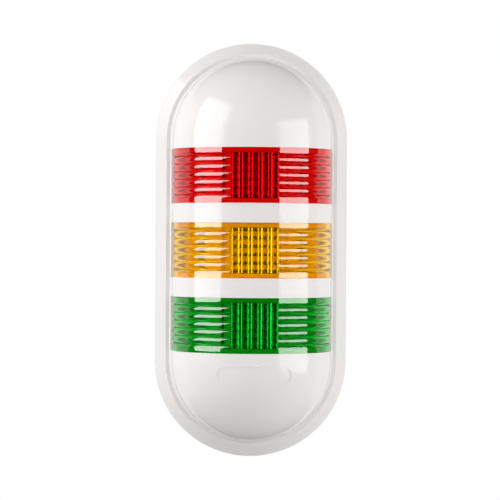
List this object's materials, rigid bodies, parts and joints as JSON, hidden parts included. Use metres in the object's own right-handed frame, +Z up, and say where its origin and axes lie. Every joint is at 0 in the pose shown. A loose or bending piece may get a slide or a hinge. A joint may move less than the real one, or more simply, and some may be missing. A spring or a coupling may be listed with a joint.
{
  "type": "wall-mounted stack light",
  "caption": "Wall-mounted signal light with a white domed racetrack cover and three ribbed lens bands, red over amber over green.",
  "frame": {"origin": "centre of the back plate's rear face, in the plane of the wall", "axes": "-Y out of the wall towards whoever looks at the light, +Z up from the green tier to the red one, +X to that person's right"},
  "size_m": [0.13, 0.0706, 0.28],
  "materials": {
    "white_plastic": "gloss",
    "red_lens": "gloss",
    "amber_lens": "gloss",
    "green_lens": "gloss",
    "grey_plastic": "matt",
    "black_rubber": "matt",
    "frame_plastic": "satin",
    "board_laminate": "satin",
    "diode_package": "gloss",
    "terminal_plastic": "matt",
    "zinc_plate": "plated",
    "capacitor_sleeve": "gloss",
    "chip_resin": "matt",
    "header_plastic": "matt"
  },
  "bodies": {
    "root": {"front_cover": "white_plastic", "lens_red": "red_lens", "lens_amber": "amber_lens", "lens_green": "green_lens", "back_plate": "grey_plastic", "cover_gasket": "black_rubber", "cable_grommet": "black_rubber", "light_frame": "frame_plastic", "led_board": "board_laminate", "driver_board": "board_laminate", "leds_red": "diode_package", "leds_amber": "diode_package", "leds_green": "diode_package", "terminal_block": "terminal_plastic", "terminal_screws": "zinc_plate", "capacitors": "capacitor_sleeve", "bridge_rectifier": "chip_resin", "driver_chips": "chip_resin", "resistors": "chip_resin", "header_socket": "header_plastic", "header_plug": "header_plastic", "led_board_screws": "zinc_plate", "driver_board_screws": "zinc_plate", "light_frame_screws": "zinc_plate"}
  },
  "joints": []
}
